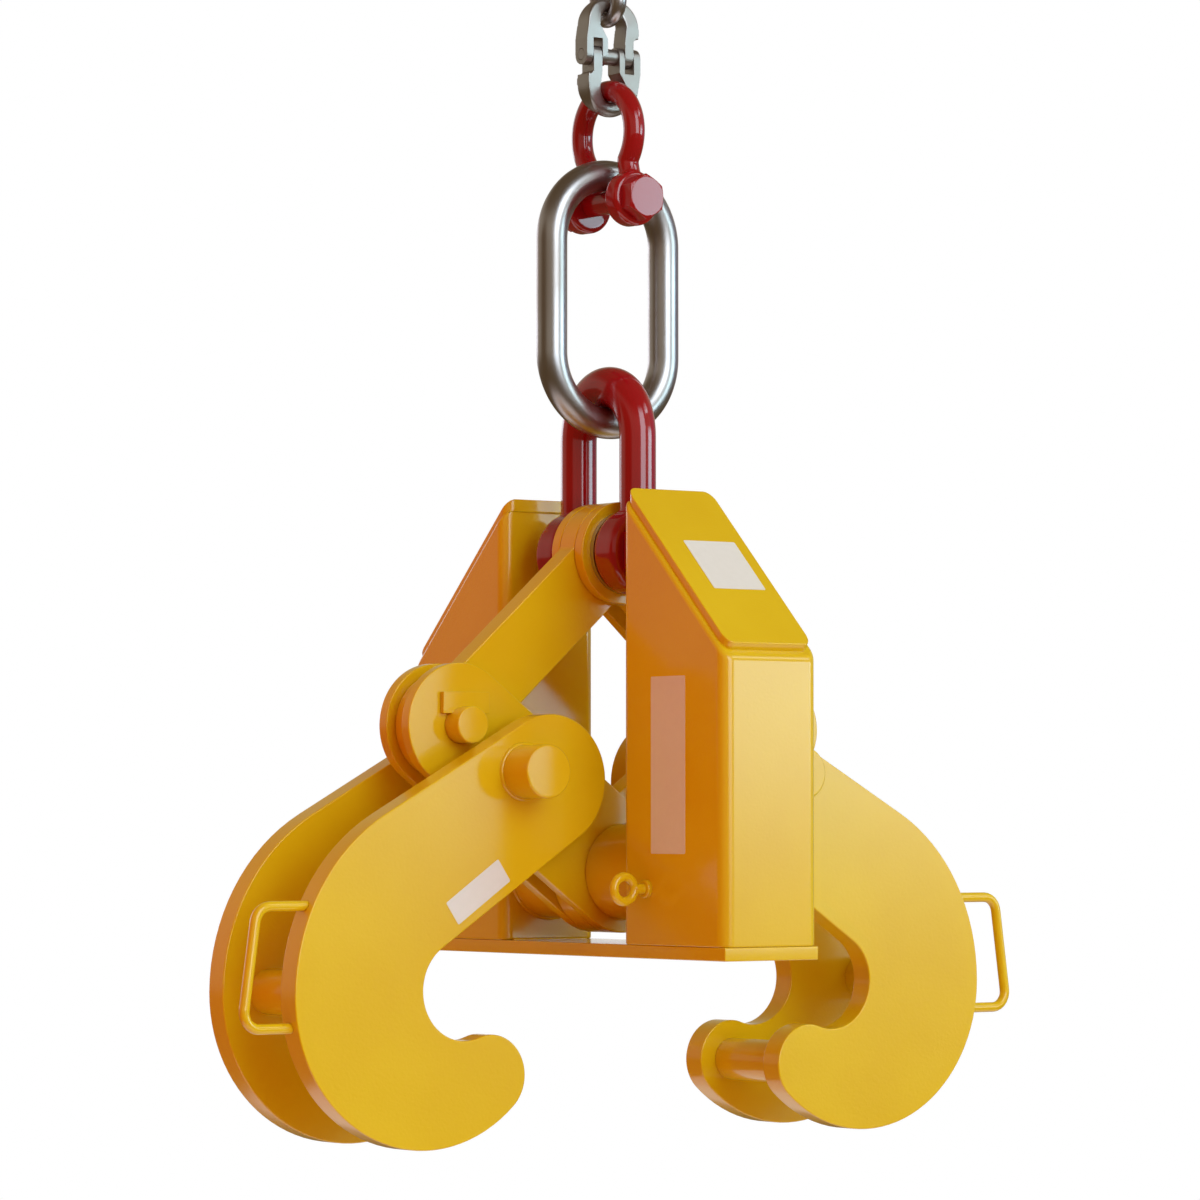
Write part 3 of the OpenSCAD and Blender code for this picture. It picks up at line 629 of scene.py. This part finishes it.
handle_voxel = 0.0008
handle_softening = 8
for side in ("left", "right"):
    stand_in("handle_painted_" + side, forged(copy_of("handle_" + side), handle_voxel, handle_softening),
             yellow_paint, "handle_" + side)


# Upper links, knuckle pins and keepers
# Bars with round eyes. The knuckle pins stand out of them and are kept from turning by flat keepers that
# are let into a notch of the pin and welded to the link.

pin_round = 0.0020
keeper_edge = 0.0008
for node in ("upper_link_left", "upper_link_right_front", "upper_link_right_rear"):
    stand_in(node + "_painted", eased(node, link_edge), yellow_paint, node)
for side in ("left", "right"):
    low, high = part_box("knuckle_pin_" + side)
    stand_in("knuckle_pin_painted_" + side, turned_bars("knuckle_pin_" + side, pin_round, ((low.y, high.y),)),
             yellow_paint, "knuckle_pin_" + side)
    stand_in("pin_keepers_painted_" + side, eased("pin_keepers_" + side, keeper_edge), yellow_paint,
             "pin_keepers_" + side)


# Main shackle
# A forged bow shackle with a bolt, nut and cotter, painted a dark glossy red. The bow swells at its crown
# and runs into round ears.

red = (0.31, 0.003, 0.006, 1)
dark_red = (0.28, 0.002, 0.005, 1)
bright_red = (0.34, 0.005, 0.009, 1)
red_paint = sprayed_paint("red_paint", dark_red, red, bright_red, roughness=0.17, coat=1.0,
                          coat_roughness=0.05, peel=0.10)
leg_r = 0.02225
crown_swell = 0.00325
jaw_half = 0.03925
bow_rise = 0.1415
bow_step = 4
ear_r = 0.054
ear_round = 0.009
skin = 0.0003
bow_voxel = 0.0016
bow_softening = 12
bolt_edge = 0.0007


def add_bar(shape, path, radii, across, sides=40):
    """Sweeps a round bar along a path of points in one plane. across is square to that plane."""
    rows = []
    last = len(path) - 1
    for i, place in enumerate(path):
        along = (path[min(i + 1, last)] - path[max(i - 1, 0)]).normalized()
        side = along.cross(across)
        rows.append([shape.verts.new(place + radii[i] * (math.cos(2 * math.pi * k / sides) * across
                                                         + math.sin(2 * math.pi * k / sides) * side))
                     for k in range(sides)])
    for a, b in zip(rows, rows[1:]):
        for k in range(sides):
            shape.faces.new((a[k], a[(k + 1) % sides], b[(k + 1) % sides], b[k]))
    shape.faces.new(rows[0][::-1])
    shape.faces.new(rows[-1])


def on_bow(a, reach, z):
    """A point of a shackle's bow, at an angle from its rear side."""
    return Vector((0, reach * math.cos(math.radians(a)), z + reach * math.sin(math.radians(a))))


bolt_low, bolt_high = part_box("main_shackle_bolt")
bolt_z = (bolt_low.z + bolt_high.z) / 2
swells = [(a, leg_r + crown_swell * math.sin(math.radians(a)) ** 2) for a in range(0, 181, bow_step)]
bow = [on_bow(a, jaw_half + r, bolt_z + bow_rise) for a, r in swells]
ends = [Vector((0, y, bolt_z)) for y in (jaw_half + leg_r, -jaw_half - leg_r)]
radii = [leg_r] + [r for a, r in swells] + [leg_r]
shape = bmesh.new()
add_bar(shape, [ends[0]] + bow + [ends[1]], [r + skin for r in radii], Vector((1, 0, 0)))
for y0 in (jaw_half, -jaw_half - 2 * leg_r):
    add_ear(shape, 0, bolt_z, ear_r, y0, y0 + 2 * leg_r, ear_round)
stand_in("main_shackle_forging", forged(as_mesh(shape, "bow"), bow_voxel, bow_softening), red_paint,
         "main_shackle_bow")
for node in ("main_shackle_bolt", "main_shackle_nut"):
    stand_in(node + "_painted", eased(node, bolt_edge), red_paint, node)


# Oblong link
# A long welded link of round alloy bar, polished bright, that hangs on the small shackle's bolt.

link_bar = 0.038
ring_sides = 48
bend_steps = 32
just_under_half = 0.4999


def bright_steel(name, colour, roughness):
    """Polished and brushed steel: fine scratches along the bar and slightly browner patches."""
    made, tree = material(name, metallic=1.0)
    brushed = tree.noise(scale=420.0, detail=4.0, rough=0.6, stretch=(1.0, 1.0, 0.12))
    patch = tree.noise(scale=9.0, detail=3.0).between(0.35, 0.7)
    browner = (colour[0] * 0.90, colour[1] * 0.85, colour[2] * 0.80, 1)
    link(tree, base_color=tree.mix(patch, colour, browner),
         roughness=brushed * 0.10 + patch * 0.05 + roughness,
         normal=tree.bump(brushed, strength=0.02, distance=0.0003))
    return made


def link_tree():
    """A tree that bends a round bar into an oblong ring, from its inside length, inside width and bar."""
    tree, given = new_tree("oblong_ring", "Length", "Width", "Bar")
    width = node_maths(tree, "ADD", given["Width"], given["Bar"])
    outline = tree.nodes.new("GeometryNodeCurvePrimitiveQuadrilateral")
    tree.links.new(width, outline.inputs["Width"])
    tree.links.new(node_maths(tree, "ADD", given["Length"], given["Bar"]), outline.inputs["Height"])
    bend = tree.nodes.new("GeometryNodeFilletCurve")
    bend.mode = "POLY"
    bend.inputs["Count"].default_value = bend_steps
    tree.links.new(outline.outputs["Curve"], bend.inputs["Curve"])
    tree.links.new(node_maths(tree, "MULTIPLY", width, just_under_half), bend.inputs["Radius"])
    bar_r = node_maths(tree, "MULTIPLY", given["Bar"], 0.5)
    sweep_out(tree, given, bend.outputs["Curve"], bar_r, ring_sides)
    return tree


oblong_ring = link_tree()
steel = bright_steel("bright_steel", (0.57, 0.51, 0.51, 1), roughness=0.25)


def bent_link(node, bar, along_y):
    """A link in the XZ or the YZ plane that fills its node's box."""
    low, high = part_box(node)
    width = (high.y - low.y) if along_y else (high.x - low.x)
    mesh = with_tree(bpy.data.meshes.new("ring"), oblong_ring, Length=high.z - low.z - 2 * bar,
                     Width=width - 2 * bar, Bar=bar, Material=steel)
    mesh.transform(facing((0, 1, 0) if along_y else (1, 0, 0), (0, 0, 1), (0, 0, (low.z + high.z) / 2)))
    return mesh


stand_in("oblong_link_bar", bent_link("master_link", link_bar, False), steel, "master_link")


# Small shackle
# The same kind of bow shackle, smaller, with a wider bow that closes in to a neck over its ears.

small_bar_r = 0.013
small_jaw_half = 0.036
small_ear_r = 0.034
small_ear_round = 0.006
small_bow_half = 0.0415
small_bow_inside = 0.126
small_bow_step = 5
neck_lean = 40
neck_foot = 0.014
neck_steps = 8
small_bow_voxel = 0.0010
small_bow_softening = 14
small_bolt_edge = 0.0005
bolt_low, bolt_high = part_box("small_shackle_bolt")
bolt_z = (bolt_low.z + bolt_high.z) / 2
bow = [on_bow(a, small_bow_half + small_bar_r, bolt_z + small_bow_inside - small_bow_half)
       for a in range(-neck_lean, 181 + neck_lean, small_bow_step)]
foot = Vector((0, small_jaw_half + small_bar_r, bolt_z + neck_foot))
neck = []
for step in range(1, neck_steps):
    ease = (1 - math.cos(math.pi * step / neck_steps)) / 2
    neck.append(Vector((0, foot.y + (bow[0].y - foot.y) * ease,
                        foot.z + (bow[0].z - foot.z) * step / neck_steps)))
left_side = [Vector((0, foot.y, bolt_z)), foot] + neck
path = left_side + bow + [Vector((0, -place.y, place.z)) for place in left_side[::-1]]
shape = bmesh.new()
add_bar(shape, path, [small_bar_r + skin] * len(path), Vector((1, 0, 0)))
for y0 in (small_jaw_half, -small_jaw_half - 2 * small_bar_r):
    add_ear(shape, 0, bolt_z, small_ear_r, y0, y0 + 2 * small_bar_r, small_ear_round)
stand_in("small_shackle_forging", forged(as_mesh(shape, "bow"), small_bow_voxel, small_bow_softening),
         red_paint, "small_shackle_bow")
for node in ("small_shackle_bolt", "small_shackle_nut"):
    stand_in(node + "_painted", eased(node, small_bolt_edge), red_paint, node)


# Cotters and spacer rings
# Cotters bent from plated wire keep the nuts on both bolts, and turned rings fill the main shackle's jaw
# beside the upper links.

plated = bright_steel("plated_steel", (0.64, 0.63, 0.60, 1), roughness=0.26)
for node in ("main_shackle_cotter", "small_shackle_cotter", "pin_spacers"):
    refinish(node, plated)


# Chain coupling
# Two forged halves that fold on a load pin: each has a fork on one side and a tongue on the other. The flat
# sides of the lugs run on into the bow and fade out in its round bar at the crown.

coupling_bar_r = 0.0095
coupling_leg_x = 0.029
coupling_step = 5
leg_foot = 0.024
flatness = 12.0
flat_fade = 4
coupling_voxel = 0.0005
coupling_softening = 4
load_pin_edge = 0.0008


def joined(*meshes):
    """One mesh from several."""
    shape = bmesh.new()
    for mesh in meshes:
        shape.from_mesh(mesh)
        bpy.data.meshes.remove(mesh)
    made = bpy.data.meshes.new("joined")
    shape.to_mesh(made)
    shape.free()
    return made


def add_flattened_bow(shape, middle_z, pin_z, leg_depth, sides=48):
    """Sweeps a bow whose section goes from a flat bar on the legs to a round one at the crown."""
    way = 1 if middle_z > pin_z else -1
    rows = []
    for a in range(0, 181, coupling_step):
        turn = math.radians(a)
        flat = abs(math.cos(turn)) ** flat_fade
        depth = coupling_bar_r + (leg_depth - coupling_bar_r) * flat
        power = 2 / (2 + flatness * flat)
        rows.append([])
        for k in range(sides):
            c, s = math.cos(2 * math.pi * k / sides), math.sin(2 * math.pi * k / sides)
            out = coupling_leg_x + coupling_bar_r * math.copysign(abs(c) ** power, c)
            rows[-1].append((out * math.cos(turn), depth * math.copysign(abs(s) ** power, s),
                             middle_z + way * out * math.sin(turn)))
    for end, row in ((0, rows[0]), (len(rows) + 1, rows[-1])):
        rows.insert(end, [(x, y, pin_z + way * leg_foot) for x, y, z in row])
    verts = [[shape.verts.new(place) for place in row] for row in rows]
    for a, b in zip(verts, verts[1:]):
        for k in range(sides):
            shape.faces.new((a[k], a[(k + 1) % sides], b[(k + 1) % sides], b[k]))
    shape.faces.new(verts[0][::-1])
    shape.faces.new(verts[-1])


satin_steel = bright_steel("satin_steel", (0.51, 0.465, 0.445, 1), roughness=0.34)
pin_low, pin_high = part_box("coupler_load_pin")
pin_z = (pin_low.z + pin_high.z) / 2
for half in ("upper", "lower"):
    node = "coupler_" + half + "_half"
    low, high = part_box(node)
    reach = coupling_leg_x + coupling_bar_r
    middle_z = high.z - reach if half == "upper" else low.z + reach
    shape = bmesh.new()
    add_flattened_bow(shape, middle_z, pin_z, (high.y - low.y) / 2)
    whole = joined(copy_of(node), as_mesh(shape, "bow"))
    stand_in(node + "_forged", forged(whole, coupling_voxel, coupling_softening), satin_steel,
             node)
stand_in("coupler_pin_turned", eased("coupler_load_pin", load_pin_edge), satin_steel,
         "coupler_load_pin")
refinish("coupler_bushing", satin_steel)


# Chain link
# The last link of the hoist chain, bent from round alloy bar and welded. It hangs the coupling's upper
# bow in its lower bend.

chain_bar = 0.019

stand_in("chain_link_bar", bent_link("chain_link", chain_bar, True), steel, "chain_link")


# Studio
# A pale floor and a room of soft light round the hanging grab: a tall light box before its front face, a low
# and a high one to the right of that and a low one behind, with a warm wall on the left. The camera sees the
# room white, and gloss sees duller walls. It stands to the front left and looks slightly up.

floor_z = -1.6
floor_r = 2.4
floor_sides = 64
floor_colour = (0.82, 0.76, 0.66, 1)
floor_fade = (1.0, 2.3)
white = (1, 1, 1, 1)
front_box = dict(middle=-90.0, half=13.0, soft=6.0, low=0.004, high=0.62, light=(3.1, 3.8, 4.2, 1))
low_box = dict(middle=-43.0, half=8.0, soft=9.0, low=0.004, high=0.20, light=(3.6, 5.5, 6.2, 1))
high_box = dict(middle=-45.0, half=9.0, soft=9.0, low=0.50, high=0.60, light=(3.6, 4.6, 5.0, 1))
rear_box = dict(middle=88.0, half=12.0, soft=8.0, low=0.05, high=0.20, light=(2.0, 2.1, 2.3, 1))
foot_soft = 0.014
head_soft = 0.1
left_low, left_high = (0.76, 0.105, 0.03, 1), (0.68, 0.19, 0.07, 1)
right_low, right_high = (0.61, 0.475, 0.28, 1), (0.74, 0.72, 0.58, 1)
wall_rise = (-0.25, 0.5)
leftward, left_fade = (-0.980, -0.150, -0.130), (0.05, 0.75)
shine_grey, shine_brown, shine_blue = (0.36, 0.34, 0.27, 1), (0.11, 0.08, 0.04, 1), (0.21, 0.21, 0.29, 1)
brown_way, brown_fade = (-0.988, 0.156, 0.0), (0.86, 0.96)
blue_way, blue_fade = (0.982, -0.190, 0.0), (0.85, 0.95)
shine_foot, shine_head = (-0.06, 0.02), (0.35, 0.70)
toward_back, back_fade = (0.590, 0.806, 0.045), (0.985, 0.995)
camera_place = (-3.4866, -4.7474, 0.1684)
camera_way = (0.5906, 0.8070)
camera_rise = math.radians(2.605)
camera_lens = 143.3
camera_sensor = 36.0


def ray_is(tree, kind):
    """1 on rays of one kind, such as Camera or Glossy, and 0 on all others."""
    return tree.add("ShaderNodeLightPath", output="Is " + kind + " Ray")


shape = bmesh.new()
bmesh.ops.create_circle(shape, cap_ends=True, segments=floor_sides, radius=floor_r)
floor_mesh = bpy.data.meshes.new("floor")
shape.to_mesh(floor_mesh)
shape.free()
floor_mesh.transform(Matrix.Translation((0, 0, floor_z)))
floor = bpy.data.objects.new("floor", floor_mesh)
bpy.context.scene.collection.objects.link(floor)
pale, tree = material("pale_floor", roughness=0.9, base_color=floor_colour)
place = tree.add("ShaderNodeTexCoord", output="Object")
distance = tree.add("ShaderNodeVectorMath", {"operation": "LENGTH"}, {0: place}, "Value")
seen = tree.maths("MAXIMUM", ray_is(tree, "Camera"), ray_is(tree, "Glossy"))
glow = tree.add("ShaderNodeEmission", {}, {"Color": white, "Strength": 1.0})
lit = Wire(pale.node_tree, pale.node_tree.nodes["Principled BSDF"].outputs[0])
faded = tree.add("ShaderNodeMixShader", {}, {0: seen * distance.between(*floor_fade), 1: lit, 2: glow})
pale.node_tree.links.new(faded.socket, pale.node_tree.nodes["Material Output"].inputs[0])
floor_mesh.materials.append(pale)

world = bpy.data.worlds.new("studio")
bpy.context.scene.world = world
world.use_nodes = True
room = Wire(world.node_tree)
direction = room.add("ShaderNodeTexCoord", output="Generated")
east, north, up = (room.add("ShaderNodeSeparateXYZ", {}, {0: direction}, axis) for axis in ("X", "Y", "Z"))
azimuth = room.maths("ARCTAN2", north, east)


def toward(way):
    """1 where the room is looked at along a direction, down to -1 against it."""
    return room.add("ShaderNodeVectorMath", {"operation": "DOT_PRODUCT"}, {0: direction, 1: way}, "Value")


def light_box(behind, middle, half, soft, low, high, light):
    """Adds a soft light box to the room: its middle, half width and soft edge in degrees, then the height
    of its foot and its head, as sines."""
    away = room.maths("ABSOLUTE", azimuth - math.radians(middle))
    inside = 1 - away.between(math.radians(half), math.radians(half + soft))
    inside = inside * up.between(low - foot_soft, low + foot_soft)
    inside = inside * (1 - up.between(high - head_soft, high + head_soft))
    return room.mix(inside, behind, light)


leftness = toward(leftward).between(*left_fade)
height = up.between(*wall_rise)
walls = room.mix(height, room.mix(leftness, right_low, left_low), room.mix(leftness, right_high, left_high))
shine = room.mix(toward(brown_way).between(*brown_fade), shine_grey, shine_brown)
shine = room.mix(toward(blue_way).between(*blue_fade), shine, shine_blue)
shine = room.mix(up.between(*shine_foot) * (1 - up.between(*shine_head)), shine_brown, shine)
glossy = ray_is(room, "Glossy")
walls = room.mix(glossy, walls, shine)
for box in (front_box, low_box, high_box, rear_box):
    walls = light_box(walls, **box)
backdrop = room.maths("MAXIMUM", glossy, ray_is(room, "Transmission"))
backdrop = backdrop * toward(toward_back).between(*back_fade)
shown = room.mix(room.maths("MAXIMUM", ray_is(room, "Camera"), backdrop), walls, white)
world.node_tree.links.new(shown.socket, world.node_tree.nodes["Background"].inputs["Color"])

camera = bpy.data.objects.new("camera", bpy.data.cameras.new("camera"))
camera.data.lens = camera_lens
camera.data.sensor_width = camera_sensor
camera.location = camera_place
look = Vector((*camera_way, math.tan(camera_rise)))
camera.rotation_euler = look.to_track_quat("-Z", "Y").to_euler()
bpy.context.scene.collection.objects.link(camera)
bpy.context.scene.camera = camera
bpy.context.scene.view_settings.view_transform = "Standard"
